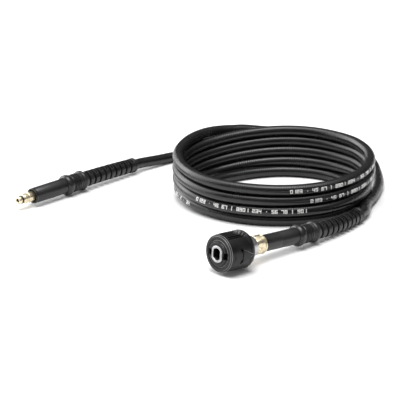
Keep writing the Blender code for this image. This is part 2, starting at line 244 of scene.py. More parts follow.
def turned(name, profile, look, steps=96, closed=False, outline=None):
    """A profile of (radius, height) points turned round Z. An open one begins and ends on the axis. Where the
    piece isn't round, the outline gives a point's place from its turn, radius and height."""
    shape = bmesh.new()
    rings = []
    for radius, height in profile:
        if radius == 0.0:
            rings.append([shape.verts.new((0.0, 0.0, height * MM))])
            continue
        ring = []
        for k in range(steps):
            t = math.tau * k / steps
            x, y = outline(t, radius, height) if outline else (radius * math.cos(t), radius * math.sin(t))
            ring.append(shape.verts.new((x * MM, y * MM, height * MM)))
        rings.append(ring)
    pairs = list(zip(rings, rings[1:])) + ([(rings[-1], rings[0])] if closed else [])
    for low, high in pairs:
        for k in range(steps):
            n = (k + 1) % steps
            corners = [low[k % len(low)], low[n % len(low)], high[n % len(high)], high[k % len(high)]]
            shape.faces.new(list(dict.fromkeys(corners)))
    return keep(name, shape, look)


def arc(middle, radius, start, end, count):
    """Points of a rounded edge in a profile, from one angle to another in degrees."""
    made = []
    for k in range(count + 1):
        t = math.radians(start + (end - start) * k / count)
        made.append((middle[0] + radius * math.cos(t), middle[1] + radius * math.sin(t)))
    return made


def placed(obj, frame_at, node, slot, body="hose"):
    """Puts a piece on its arm, in the place of the node that it stands for."""
    obj.matrix_world = frame_at
    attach(obj, body)
    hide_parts(node)


def arm_frame(mouth, heading, drop):
    """The frame of an arm at its sleeve's mouth: +Z out of the free end, +X to the right of someone who looks
    along the arm towards the hose, +Y up."""
    turn, dip = math.radians(heading), math.radians(drop)
    out = -Vector((math.cos(turn) * math.cos(dip), math.sin(turn) * math.cos(dip), -math.sin(dip)))
    side = UP.cross(out).normalized()
    spin = Matrix((side, out.cross(side), out)).transposed().to_4x4()
    return Matrix.Translation(world((mouth[0] * COIL_RADIUS, mouth[1] * COIL_RADIUS, mouth[2]))) @ spin


# The two arms: the mouth's x and y in coil radii and its height, the heading and the dip in degrees, and the
# bend of the ribbed part in degrees, to the side and up
PLUG_MOUTH, PLUG_HEADING, PLUG_DROP = (-2.55, -0.365, 12.7), 47.0, 0.0
COUPLING_MOUTH, COUPLING_HEADING, COUPLING_DROP = (-0.18, -1.965, 19.4), 42.8, 4.2
PLUG_BEND = (1.5, 3.3)
COUPLING_BEND = (18.5, -3.0)
plug_frame = arm_frame(PLUG_MOUTH, PLUG_HEADING, PLUG_DROP)
coupling_frame = arm_frame(COUPLING_MOUTH, COUPLING_HEADING, COUPLING_DROP)

# Sleeve and bend restrictor, with stations from the sleeve's mouth towards the hose
SLEEVE_RADIUS = 9.3
SLEEVE_HOLLOW = 24.0
SLEEVE_TUCK = 4.0  # into the restrictor
SLEEVE_CLEARANCE = 0.25
PLUG_STEM_RADIUS = 6.3
COUPLING_STEM_RADIUS = 9.0
FLANGE_1 = 50.8
FLANGE_2 = 73.5
NECK_GROOVES = 4
NECK_GROOVE_PITCH = 2.6
RIBS_FRONT = 86.0
RIB_PITCH = 9.0
RIB_COUNT = 9
RIB_RADIUS = 9.4
RIB_TAPER = 0.75
RIB_CROWN = 0.12
RIB_EDGE = 0.6
RIB_STEPS = 8
SLOT_WIDTH = 3.2
SLOT_DEPTH = 4.0
SHORT_SLOT_HALF = 1.0
SHORT_SLOT_DEPTH = 3.0
RESTRICTOR_END = 175.0


def bent(point, bend):
    """A point of an arm's frame, in millimetres, carried along the arc that its ribbed part makes."""
    away = Vector((-bend[0], -bend[1], 0.0))
    angle, aside = math.radians(away.length), away.normalized()
    length = RESTRICTOR_END - RIBS_FRONT
    run = -point.z - RIBS_FRONT
    if run <= 0.0:
        return point
    curve = length / angle
    part = angle * run / length
    reach = point.dot(aside)
    flat = point - aside * reach
    flat.z = 0.0
    along = Vector((0.0, 0.0, -1.0))
    return (
        along * (RIBS_FRONT + (curve - reach) * math.sin(part))
        + aside * (curve - (curve - reach) * math.cos(part))
        + flat
    )


def sleeve(prefix, frame_at, stem_radius):
    """The smooth sleeve with its rim and a fine line behind it, hollow where the metal comes out."""
    profile = [
        (0.0, -SLEEVE_HOLLOW),
        (stem_radius + 0.5, -SLEEVE_HOLLOW),
        (stem_radius + 0.5, -1.4),
        (SLEEVE_RADIUS - 1.9, -0.9),
        (SLEEVE_RADIUS - 1.5, 0.0),
        *arc((SLEEVE_RADIUS - 0.7, -0.7), 0.7, 90.0, 0.0, 4),
        (SLEEVE_RADIUS, -2.2),
        (SLEEVE_RADIUS - 0.15, -2.4),
        (SLEEVE_RADIUS - 0.15, -2.7),
        (SLEEVE_RADIUS, -2.9),
        (SLEEVE_RADIUS + 0.2, -FLANGE_1 - SLEEVE_TUCK),
        (0.0, -FLANGE_1 - SLEEVE_TUCK),
    ]
    shell = turned(f"{prefix}_sleeve_shell", profile, black)
    placed(shell, frame_at, f"{prefix}_sleeve", "moulded_black")


def restrictor(prefix, frame_at, bend):
    """The two flanges, the neck between them, and a ribbed tail: broad rings parted by full slots, each ring
    with a short slot above and below."""
    bore = SLEEVE_RADIUS + SLEEVE_CLEARANCE
    profile = [
        (0.0, -FLANGE_1 - SLEEVE_TUCK - 0.5),
        (bore, -FLANGE_1 - SLEEVE_TUCK - 0.5),
        (bore, -FLANGE_1 - 0.2),
        (bore + 0.3, -FLANGE_1),
        (10.4, -FLANGE_1 - 0.3),
        (12.1, -FLANGE_1 - 2.3),
        *arc((11.7, -FLANGE_1 - 3.4), 0.8, 50.0, 0.0, 3),
        (12.4, -FLANGE_1 - 6.0),
        (12.0, -FLANGE_1 - 7.6),
        (11.0, -FLANGE_1 - 9.0),
        (10.5, -FLANGE_1 - 10.4),
    ]
    groove_at = FLANGE_1 + 11.0
    for _ in range(NECK_GROOVES):
        for edge, radius in ((0.0, 10.9), (0.3, 9.7), (1.0, 9.7), (1.3, 10.9)):
            profile.append((radius, -groove_at - edge))
        groove_at += NECK_GROOVE_PITCH
    profile += [
        (10.4, -FLANGE_2 - 0.6),
        (11.4, -FLANGE_2 - 1.6),
        *arc((9.3, -FLANGE_2 - 5.6), 3.1, 55.0, -40.0, 7),
        (10.6, -FLANGE_2 - 9.0),
        (9.8, -FLANGE_2 - 10.6),
        (9.5, -RIBS_FRONT),
    ]
    for rib in range(RIB_COUNT):
        radius = RIB_RADIUS - RIB_TAPER * rib / (RIB_COUNT - 1)
        start = RIBS_FRONT + RIB_PITCH * rib
        walls = ((0.0, 0.0), (0.1, SLOT_DEPTH), (SLOT_WIDTH - 0.1, SLOT_DEPTH), (SLOT_WIDTH, 0.0))
        for edge, deep in walls:
            profile.append((radius - deep, -start - edge))
        for step in range(RIB_STEPS + 1):
            along = (RIB_PITCH - SLOT_WIDTH - 2 * RIB_EDGE) * step / RIB_STEPS
            profile.append((radius + RIB_CROWN, -start - SLOT_WIDTH - RIB_EDGE - along))
    end = RESTRICTOR_END
    profile += [
        (8.5, -end + 8.0),
        (9.1, -end + 7.4),
        (9.2, -end + 5.4),
        *arc((8.3, -end + 4.6), 0.9, 0.0, -60.0, 4),
        (HOSE_RADIUS + 0.6, -end + 3.4),
        (HOSE_RADIUS + 0.35, -end + 1.2),
        (HOSE_RADIUS + 0.2, -end),
        (HOSE_RADIUS, -end + 0.6),
        (HOSE_RADIUS - 0.6, -end + 1.2),
        (0.0, -end + 1.2),
    ]

    def slotted(turn, radius, height):
        """Sinks the short slots above and below, in the middle of each ring."""
        run = -height - RIBS_FRONT - SLOT_WIDTH
        if 0.0 < run < RIB_PITCH * RIB_COUNT - SLOT_WIDTH and radius > 8.0:
            aside = (run % RIB_PITCH) - (RIB_PITCH - SLOT_WIDTH) / 2
            if abs(aside) < SHORT_SLOT_HALF and abs(math.sin(turn)) > 0.75:
                radius -= SHORT_SLOT_DEPTH
        return radius * math.cos(turn), radius * math.sin(turn)

    skin = turned(f"{prefix}_restrictor_skin", profile, black, outline=slotted)
    for vertex in skin.data.vertices:
        vertex.co = bent(vertex.co / MM, bend) * MM
    placed(skin, frame_at, f"{prefix}_bend_restrictor", "moulded_black")


sleeve("plug", plug_frame, PLUG_STEM_RADIUS)
sleeve("coupling", coupling_frame, COUPLING_STEM_RADIUS)
restrictor("plug", plug_frame, PLUG_BEND)
restrictor("coupling", coupling_frame, COUPLING_BEND)

# Brass plug nipple with its seal
NIPPLE_TIP = 23.3
NIPPLE_BORE = 2.1
NIPPLE_BORE_DEPTH = 14.0
NIPPLE_ROOT = -6.0
SEAL_SECTION = 1.05
nipple_profile = [
    (0.0, NIPPLE_TIP - NIPPLE_BORE_DEPTH),
    (NIPPLE_BORE, NIPPLE_TIP - NIPPLE_BORE_DEPTH),
    (NIPPLE_BORE, NIPPLE_TIP - 0.5),
    (2.5, NIPPLE_TIP),
    (3.6, NIPPLE_TIP),
    (4.35, NIPPLE_TIP - 0.9),
    (4.45, NIPPLE_TIP - 4.2),
    (3.3, NIPPLE_TIP - 4.4),
    (3.3, NIPPLE_TIP - 6.8),
    (4.6, NIPPLE_TIP - 7.0),
    (5.3, NIPPLE_TIP - 8.0),
    (5.9, NIPPLE_TIP - 9.4),
    (5.9, NIPPLE_TIP - 13.6),
    (5.4, NIPPLE_TIP - 14.0),
    (5.2, NIPPLE_TIP - 14.6),
    (5.2, NIPPLE_TIP - 15.8),
    (5.6, NIPPLE_TIP - 16.4),
    (6.25, NIPPLE_TIP - 16.9),
    (6.3, NIPPLE_TIP - 21.2),
    (6.0, NIPPLE_TIP - 21.8),
    (6.0, NIPPLE_ROOT),
    (0.0, NIPPLE_ROOT),
]
nipple = turned("plug_nipple_brass", nipple_profile, brass)
# Faces of the bore get the near-black brass, a painted shade inside the hole.
nipple.data.materials.append(brass_painted_shade)
for face in nipple.data.polygons:
    face.material_index = int(math.hypot(face.center.x, face.center.y) < (NIPPLE_BORE + 0.05) * MM)
placed(nipple, plug_frame, "plug_nipple", "brass")
seal_profile = arc((4.0, NIPPLE_TIP - 5.6), SEAL_SECTION, 0.0, 330.0, 11)
placed(turned("plug_seal_ring", seal_profile, seal, closed=True), plug_frame, "plug_o_ring", "seal_rubber")

# Coupling: ring and barrel of light metal, with stations from the sleeve's mouth out of the free end
FACE = 66.0
RING_PROUD = 3.0
RING_RADIUS = 9.4
RING_FLAT = 7.9
HOLE_FLAT = 5.3
BARREL_RADIUS = 12.0
BARREL_REAR = 16.0


def with_flats(turn, radius, height):
    """The ring in the face has a flat on each side, outside and in its hole."""
    x, y = radius * math.cos(turn), radius * math.sin(turn)
    if height > FACE - 6.0 and radius < RING_RADIUS + 0.2:
        flat = HOLE_FLAT if radius < 7.6 else RING_FLAT - (RING_RADIUS - radius)
        x = max(-flat, min(flat, x))
    return x, y


barrel_profile = [
    (0.0, FACE - 22.0),
    (6.9, FACE - 22.0),
    (6.9, FACE - 6.5),
    (6.5, FACE - 4.0),
    (6.5, FACE + RING_PROUD - 0.5),
    (6.9, FACE + RING_PROUD),
    (8.9, FACE + RING_PROUD),
    (RING_RADIUS, FACE + RING_PROUD - 0.5),
    (RING_RADIUS, FACE - 5.8),
    (RING_RADIUS, FACE - 12.0),
    (BARREL_RADIUS, FACE - 12.0),
    (BARREL_RADIUS, BARREL_REAR + 1.4),
    (11.6, BARREL_REAR + 0.6),
    (10.8, BARREL_REAR),
    (0.0, BARREL_REAR),
]
barrel = turned("coupling_barrel", barrel_profile, steel, outline=with_flats)
barrel.data.materials.append(ring_steel)
barrel.data.materials.append(steel_painted_shade)
# Faces inside the socket get the near-black steel, a painted shade; the ring in the face has its own darker
# metal.
for face in barrel.data.polygons:
    x, y, z = face.center / MM
    inside = math.hypot(x, y) < 7.3 and z < FACE + RING_PROUD - 0.3
    face.material_index = 2 if inside else int(z > FACE - 6.0)
placed(barrel, coupling_frame, "coupling_body", "coupling_metal")

NUT_FLAT = 10.4
nut_profile = [
    (0.0, 20.0),
    (6.0, 20.0),
    (6.0, 15.8),
    (9.9, 15.8),
    (11.5, 14.7),
    (11.5, 5.6),
    (10.8, 4.6),
    (10.0, 4.2),
    (10.0, 3.6),
    (10.8, 3.2),
    (11.0, 2.6),
    (10.8, 1.4),
    (9.4, 0.5),
    (8.7, 0.3),
    (8.7, -6.0),
    (0.0, -6.0),
]


def hexagon(turn, radius, height):
    """Six flats on the nut's middle."""
    if 5.0 < height < 15.4 and radius > 10.2:
        within = (turn + math.pi / 6) % (math.pi / 3) - math.pi / 6
        radius = min(radius, NUT_FLAT / math.cos(within))
    return radius * math.cos(turn), radius * math.sin(turn)


placed(turned("coupling_nut", nut_profile, brass, outline=hexagon), coupling_frame, "coupling_stem", "brass")

# Collar, with stations on the same line
COLLAR_RADIUS = 21.7
COLLAR_LENGTH = 38.0
REAR = FACE - COLLAR_LENGTH
TROUGH_REAR = REAR + 8.5
TROUGH_FRONT = FACE - 4.4
TROUGH_RAMP = 2.6  # at its rear end
TROUGH_STEP = 0.4  # at its front end
TROUGH_HALF = 31.0  # degrees to each side of the top and of the bottom
TROUGH_WALL = 2.5  # degrees
TROUGH_DEPTH = 4.2
GROOVES = ((5.0, 12.0), (18.0, 24.0))  # degrees to each side
GROOVE_DEPTH = 1.6
COLLAR_BULGE = 0.3
BULGE_STEPS = 12
COLLAR_STEPS = 192


def collar_outline(turn, radius, height):
    """A trough along the top and the bottom of the collar, with grooves in its floor."""
    if radius > 15.5 and TROUGH_REAR - TROUGH_RAMP < height < TROUGH_FRONT + TROUGH_STEP:
        from_rear = (height - TROUGH_REAR + TROUGH_RAMP) / TROUGH_RAMP
        from_front = (TROUGH_FRONT + TROUGH_STEP - height) / TROUGH_STEP
        edge = min(1.0, max(0.0, from_rear), max(0.0, from_front))
        across = abs(math.degrees(math.asin(max(-1.0, min(1.0, math.cos(turn))))))
        if across < TROUGH_HALF:
            depth = TROUGH_DEPTH * min(1.0, (TROUGH_HALF - across) / TROUGH_WALL)
            if any(low < across < high for low, high in GROOVES):
                depth += GROOVE_DEPTH
            radius -= depth * edge
    return radius * math.cos(turn), radius * math.sin(turn)


collar_profile = [
    (9.9, FACE + 1.2),
    (10.4, FACE + 1.6),
    (12.8, FACE + 1.6),
    (13.3, FACE + 1.0),
    (13.5, FACE + 0.3),
    (14.9, FACE + 0.2),
    (15.2, FACE - 0.5),
    (16.4, FACE - 0.5),
    (16.7, FACE + 0.1),
    (19.0, FACE),
    (19.3, FACE - 0.5),
    (20.2, FACE - 0.6),
    *arc((20.2, FACE - 1.4), 0.8, 80.0, 0.0, 4),
    (21.3, FACE - 4.0),
    (21.3, FACE - 4.3),
]
for step in range(BULGE_STEPS + 1):
    share = step / BULGE_STEPS
    radius = COLLAR_RADIUS - COLLAR_BULGE + COLLAR_BULGE * math.sin(math.pi * share)
    collar_profile.append((radius, TROUGH_FRONT - 0.1 + (TROUGH_REAR - TROUGH_FRONT) * share))
collar_profile += [
    (COLLAR_RADIUS, REAR + 7.8),
    (COLLAR_RADIUS, REAR + 6.6),
    (COLLAR_RADIUS - 0.2, REAR + 5.0),
    (COLLAR_RADIUS - 0.9, REAR + 3.2),
    (COLLAR_RADIUS - 2.2, REAR + 1.5),
    (COLLAR_RADIUS - 4.0, REAR + 0.3),
    (COLLAR_RADIUS - 5.4, REAR),
    (BARREL_RADIUS + 0.1, REAR),
    (BARREL_RADIUS + 0.1, FACE - 4.7),
    (9.9, FACE - 4.7),
]
collar = turned(
    "collar_shell", collar_profile, black_collar, steps=COLLAR_STEPS, closed=True, outline=collar_outline
)
# The rim and the two steps in the face get the pale grey, a painted highlight along those edges.
collar.data.materials.append(painted_edge_highlight)
for face in collar.data.polygons:
    x, y, z = face.center / MM
    out = math.hypot(x, y)
    rim = 20.72 < out < 21.0 and z > FACE - 1.5
    step = z > FACE - 1.0 and any(low < out < low + 0.32 for low in (14.9, 19.0))
    face.material_index = int(rim or step)


def block(name, size, at, look, spin=0.0):
    """A box of this size in millimetres, for cutting."""
    shape = bmesh.new()
    bmesh.ops.create_cube(shape, size=1.0)
    for vertex in shape.verts:
        vertex.co = Vector(vertex.co[k] * size[k] * MM for k in range(3))
    obj = keep(name, shape, look)
    obj.matrix_world = Matrix.Translation(Vector(at) * MM) @ Matrix.Rotation(spin, 4, "X")
    return obj


def cut(obj, cutters):
    """Takes the cutters' shapes out of the piece, and clears them away."""
    for cutter in cutters:
        slice_off = obj.modifiers.new("cut", "BOOLEAN")
        slice_off.operation = "DIFFERENCE"
        slice_off.object = cutter
    bpy.context.view_layer.update()
    graph = bpy.context.evaluated_depsgraph_get()
    mesh = bpy.data.meshes.new_from_object(obj.evaluated_get(graph))
    obj.modifiers.clear()
    obj.data = mesh
    mesh.set_sharp_from_angle(angle=math.radians(35.0))
    for cutter in cutters:
        bpy.data.objects.remove(cutter, do_unlink=True)


# A slot in the face, a short line behind the rim and two notches behind the arrow, on each side
NOTCH_SPIN = 0.45
cutters = []
for side in (1, -1):
    cutters.append(block("slot", (4.8, 7.4, 10.0), (side * 12.4, 0.0, FACE), black_collar))
    cutters.append(block("mark", (2.0, 4.8, 0.9), (side * 21.6, 0.0, FACE - 5.6), black_collar))
    for lift in (1, -1):
        notch_at = (side * 20.4, lift * 6.3, REAR + 22.6)
        cutters.append(block("notch", (4.0, 4.6, 2.4), notch_at, black_collar, lift * NOTCH_SPIN))
cut(collar, cutters)

ARROW_TIP = REAR + 5.5
ARROW_BASE = REAR + 21.5
ARROW_HALF = 7.6
ARROW_ROWS = 14
ARROW_COLUMNS = 12
ARROW_FOOT = COLLAR_RADIUS - 1.0
ARROW_TOP = COLLAR_RADIUS + 0.9
ARROW_EDGE = 0.25


def arrow(name, side):
    """A raised arrowhead that points along the arm to the hose, bent round one side of the collar."""
    shape = bmesh.new()

    def at(radius, along, across):
        t = across / COLLAR_RADIUS
        return shape.verts.new((side * radius * math.cos(t) * MM, radius * math.sin(t) * MM, along * MM))

    grids = []
    for radius, inset in ((ARROW_FOOT, 0.0), (ARROW_TOP - ARROW_EDGE, 0.0), (ARROW_TOP, 0.3)):
        grid = []
        for row in range(ARROW_ROWS + 1):
            share = (row + 0.4) / (ARROW_ROWS + 0.4)
            along = ARROW_TIP + (ARROW_BASE - ARROW_TIP) * share - inset * (2 * row / ARROW_ROWS - 1)
            width = max(0.1, ARROW_HALF * share - inset)
            places = [width * (2 * k / ARROW_COLUMNS - 1) for k in range(ARROW_COLUMNS + 1)]
            grid.append([at(radius, along, across) for across in places])
        grids.append(grid)
    rims = []
    for grid in grids:
        between = grid[1:-1]
        right, left = [row[-1] for row in between], [row[0] for row in reversed(between)]
        rims.append([*grid[0], *right, *reversed(grid[-1]), *left])
    for low_rim, high_rim in zip(rims, rims[1:]):
        for k in range(len(low_rim)):
            n = (k + 1) % len(low_rim)
            shape.faces.new((low_rim[k], low_rim[n], high_rim[n], high_rim[k]))
    for grid in (grids[0], grids[-1]):
        for row, after in zip(grid, grid[1:]):
            for k in range(ARROW_COLUMNS):
                shape.faces.new((row[k], row[k + 1], after[k + 1], after[k]))
    head = keep(name, shape, black_collar, smooth=20.0)
    # Faces along the arrow's top edge get the pale grey, a painted highlight.
    head.data.materials.append(painted_edge_highlight)
    for face in head.data.polygons:
        out = math.hypot(face.center.x, face.center.y) / MM
        edge = ARROW_TOP - 0.2 < out < ARROW_TOP - 0.02
        face.material_index = int(edge and face.center.z < (ARROW_BASE - 0.6) * MM)
    head.matrix_world = coupling_frame
    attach(head, "collar")


arrow("collar_arrow_right", 1)
arrow("collar_arrow_left", -1)
placed(collar, coupling_frame, "coupling_collar", "collar_black", body="collar")


# The hose
def spline(stations, values, at):
    """A smooth curve of values over rising stations."""
    stations, values, at = np.array(stations, float), np.array(values, float), np.array(at, float)
    slope = np.gradient(values, stations)
    i = np.clip(np.searchsorted(stations, at) - 1, 0, len(stations) - 2)
    gap = stations[i + 1] - stations[i]
    t = (at - stations[i]) / gap
    return (
        (2 * t**3 - 3 * t**2 + 1) * values[i]
        + (t**3 - 2 * t**2 + t) * gap * slope[i]
        + (3 * t**2 - 2 * t**3) * values[i + 1]
        + (t**3 - t**2) * gap * slope[i + 1]
    )


# An oval for each level of the coil: the y of its middle and its half widths across x and y, at the back and
# then at the front
OVALS = {
    "inner": ((-17.0, 112.0, 93.2), (-14.0, 114.0, 96.2)),
    "first": ((-15.0, 113.5, 95.0), (-14.0, 114.0, 96.2)),
    "second": ((-13.0, 114.5, 97.5), (-12.0, 115.0, 101.0)),
    "third": ((-11.0, 115.0, 99.5), (-10.0, 115.3, 101.3)),
    "fourth": ((-9.0, 115.3, 100.0), (-8.0, 115.3, 103.4)),
    "top": ((-7.0, 115.3, 98.5), (-8.0, 115.3, 99.8)),
}

# The coil's course from the plug's end to the coupling's, in the stretches that lie on each oval: bearing in
# degrees clockwise, least height, and distance outside the oval. A turn lies at its least height or on the
# turn beneath it.
FLOOR = HOSE_RADIUS
COIL = {
    "inner": [
        (282, FLOOR, 17.5), (295, FLOOR, 13.8), (308, FLOOR, 13.5), (320, FLOOR, 11.5),
        (332, FLOOR, 3.5), (342, FLOOR, -4.5), (352, FLOOR, -11.0), (364, FLOOR, -15.5),
        (380, FLOOR, -17.5), (410, FLOOR, -17.0), (450, FLOOR, -16.0), (490, FLOOR, -20.0),
        (520, FLOOR, -23.0), (545, FLOOR, -23.5), (565, FLOOR, -21.5), (580, FLOOR, -18.0),
        (593, FLOOR, -15.0), (607, FLOOR, -12.2), (619, FLOOR, -8.2), (634, FLOOR, -3.0),
        (645, FLOOR, -1.2), (665, FLOOR, -0.5), (676, FLOOR, -1.8), (684, FLOOR, -4.5),
        (692, FLOOR, -9.5), (702, FLOOR, -17.0), (712, FLOOR, -23.0), (724, FLOOR, -28.5),
        (740, FLOOR, -30.0), (762, 7.5, -29.0), (778, 13.0, -25.0), (792, 18.0, -18.5),
        (810, 18.8, -16.0), (850, 18.8, -20.5), (880, 18.8, -23.0), (897, 17.5, -21.0),
    ],
    "first": [
        (912, 13.5, -14.5), (926, 10.3, -8.5), (940, 9.6, -4.0), (953, 9.8, 0.0), (963, 11.8, 0.0),
        (979, 14.8, 0.0), (994, 17.2, 0.0), (1010, 18.4, 0.0), (1026, 18.4, 0.0), (1040, 18.3, 0.0),
        (1054, 18.0, 1.0), (1066, 16.5, 0.5), (1080, 14.6, -2.5), (1096, 12.4, -5.5), (1116, 9.4, -4.5),
        (1137, 6.8, -2.0), (1156, FLOOR, -1.5), (1180, FLOOR, -2.5), (1205, 7.0, -5.0),
        (1225, 8.9, -5.0),
    ],
    "second": [
        (1245, 11.2, -3.6), (1265, 14.2, -0.4), (1285, 18.2, 0.0), (1302, 20.3, 0.0), (1315, 21.8, 0.0),
        (1331, 24.8, 0.0), (1347, 28.4, 0.0), (1370, 30.3, 0.0), (1386, 30.3, 0.0), (1406, 29.3, 0.0),
        (1430, 26.0, -1.0), (1456, 22.0, -2.5), (1476, 19.0, -1.0), (1510, 17.0, 0.0),
        (1536, 18.0, -1.0), (1566, 20.2, -2.0), (1590, 22.4, -1.8),
    ],
    "third": [
        (1608, 25.0, -0.6), (1626, 27.3, 0.0), (1640, 29.7, 0.0), (1650, 31.0, 0.0), (1662, 32.0, 0.0),
        (1699, 38.0, 0.0), (1746, 41.0, 0.0), (1800, 35.0, 0.0), (1857, 28.0, 0.0), (1921, 28.0, 0.0),
        (1950, 31.0, -0.4),
    ],
    "fourth": [
        (1967, 33.0, 0.0), (1983, 39.2, 0.0), (2004, 43.3, 0.0), (2022, 45.3, 0.0), (2040, 48.6, 0.0),
        (2059, 51.0, 0.0), (2100, 51.0, -0.5), (2118, 51.0, -1.8), (2138, 50.0, -2.0),
        (2154, 49.0, -0.8), (2178, 47.5, 0.0), (2217, 44.4, 0.0), (2240, 44.0, 0.0), (2266, 44.0, -0.8),
        (2300, 46.6, -1.0), (2320, 49.0, -1.5), (2332, 51.0, -1.0),
    ],
    "top": [
        (2343, 53.0, 0.0), (2355, 55.6, 0.0), (2367, 56.5, 1.2), (2379, 56.5, 4.5), (2391, 55.7, 9.3),
        (2403, 53.6, 13.0), (2414, 50.6, 16.5),
    ],
}
COIL_STEP = 4.0  # degrees, a whole share of a turn
REST = HOSE_OD - 0.1  # between the middles of two turns that touch
CLOSE = HOSE_OD + 0.2  # the most between two turns where one lies along the other
TIGHT = HOSE_OD + 0.04  # the same, as the camera sees them
STACKED = (1286.0, 2375.0)  # the bearings between which they lie so
BESIDE = 10.0  # the most from side to side between two such turns
EASING = np.array([1, 2, 3, 2, 1]) / 9


def coil_points():
    """The course of the coil, each turn of it resting on the one beneath."""
    rows = [(*stop, *OVALS[level]) for level, run in COIL.items() for stop in run]
    bearings = [row[0] for row in rows]
    at = np.arange(bearings[0], bearings[-1] + 0.01, COIL_STEP)
    height = spline(bearings, [row[1] for row in rows], at)
    aside = spline(bearings, [row[2] for row in rows], at)
    sides = [[spline(bearings, [row[side][k] for row in rows], at) for k in range(3)] for side in (3, 4)]
    turn = np.radians(-at)
    share = 0.5 + 0.5 * np.sin(turn)
    middle, wide, deep = (front + (back - front) * share for back, front in zip(*sides))
    away = np.stack([np.cos(turn) / wide, np.sin(turn) / deep], axis=1)
    away /= np.linalg.norm(away, axis=1)[:, None]
    flat = np.stack([wide * np.cos(turn), middle + deep * np.sin(turn)], axis=1) + away * aside[:, None]
    round_once = round(360 / COIL_STEP)
    for i in range(round_once, len(at)):
        step = flat[i] - flat[i - round_once]
        apart = np.linalg.norm(step)
        below = height[i - round_once]
        if math.hypot(apart, height[i] - below) < REST:
            height[i] = below + math.sqrt(REST**2 - apart**2)
        elif apart < BESIDE and STACKED[0] <= at[i] <= STACKED[1]:
            height[i] = min(height[i], below + math.sqrt(CLOSE**2 - apart**2))
            if step[1] > 0.0:
                seen = (height[i] - below) * math.cos(tilt) + step[1] * math.sin(tilt)
                height[i] -= max(0.0, seen - TIGHT) / math.cos(tilt)
    eased = np.convolve(np.pad(height, len(EASING) // 2, mode="edge"), EASING, mode="valid")
    return [Vector((x, y, z)) for (x, y), z in zip(flat, eased)]


# The loose stretches between the plug and the coil, and between the coil and the coupling
PLUG_TAIL = [
    (-142.0, 114.5, FLOOR + 1.0), (-124.1, 129.3, FLOOR), (-102.0, 138.5, FLOOR), (-77.0, 140.5, FLOOR),
    (-52.0, 134.0, FLOOR), (-29.0, 122.5, FLOOR), (-6.0, 110.5, FLOOR),
]
COUPLING_TAIL = [
    (-12.0, 111.5, 47.0), (8.0, 117.5, 43.6), (30.0, 122.5, 39.0), (54.0, 126.3, 33.6), (77.1, 127.0, 28.0),
    (92.0, 124.6, 23.8), (108.4, 116.6, 19.5), (121.4, 102.4, 15.3), (127.9, 84.0, 11.2), (130.0, 66.0, 8.0),
    (130.6, 45.0, FLOOR + 0.2), (129.4, 24.0, FLOOR), (125.6, 3.5, FLOOR), (117.8, -26.4, FLOOR + 0.1),
    (109.4, -50.3, FLOOR + 1.0),
]


def smooth(points, per=16):
    """A curve through the points, whose uneven spacing it allows for."""
    path = [2 * points[0] - points[1], *points, 2 * points[-1] - points[-2]]
    made = []
    for a, b, c, d in zip(path, path[1:], path[2:], path[3:]):
        t0, t1 = 0.0, (b - a).length ** 0.5
        t2 = t1 + (c - b).length ** 0.5
        t3 = t2 + (d - c).length ** 0.5
        for k in range(per):
            t = t1 + (t2 - t1) * k / per
            a1 = a * ((t1 - t) / (t1 - t0)) + b * ((t - t0) / (t1 - t0))
            a2 = b * ((t2 - t) / (t2 - t1)) + c * ((t - t1) / (t2 - t1))
            a3 = c * ((t3 - t) / (t3 - t2)) + d * ((t - t2) / (t3 - t2))
            b1 = a1 * ((t2 - t) / (t2 - t0)) + a2 * ((t - t0) / (t2 - t0))
            b2 = a2 * ((t3 - t) / (t3 - t1)) + a3 * ((t - t1) / (t3 - t1))
            made.append(b1 * ((t2 - t) / (t2 - t1)) + b2 * ((t - t1) / (t2 - t1)))
    return [*made, points[-1]]


def even(points, spacing):
    """The points read off again at an even spacing, and their whole length."""
    line = np.array([tuple(p) for p in points])
    gone = np.concatenate([[0.0], np.cumsum(np.linalg.norm(np.diff(line, axis=0), axis=1))])
    at = np.linspace(0.0, gone[-1], max(2, round(gone[-1] / spacing)) + 1)
    return [Vector([np.interp(s, gone, line[:, k]) for k in range(3)]) for s in at], gone[-1]


def arm_exit(frame_at, bend, beyond):
    """Where the hose's middle is this far past the end of a bend restrictor, from the coil's middle."""
    last = bent(Vector((0.0, 0.0, -RESTRICTOR_END)), bend)
    before = bent(Vector((0.0, 0.0, -RESTRICTOR_END + 1.0)), bend)
    at = frame_at @ ((last + (last - before) * beyond) * MM)
    return at / MM - Vector((COIL_X, COIL_Y, 0.0))


HOSE_INSIDE = -3.0  # where the hose begins and ends, from the end of each bend restrictor
HOSE_STRAIGHT = 12.0  # and how far beyond that end it still runs straight
HOSE_STEP = 2.0
HOSE_SIDES = 24
HOSE_FULLNESS = 0.06
stops = [
    arm_exit(plug_frame, PLUG_BEND, HOSE_INSIDE),
    arm_exit(plug_frame, PLUG_BEND, HOSE_STRAIGHT),
    *map(Vector, PLUG_TAIL),
    *coil_points(),
    *map(Vector, COUPLING_TAIL),
    arm_exit(coupling_frame, COUPLING_BEND, HOSE_STRAIGHT),
    arm_exit(coupling_frame, COUPLING_BEND, HOSE_INSIDE),
]
hose_path, hose_length = even(smooth(stops), HOSE_STEP)
hose_path = hose_path[::-1]


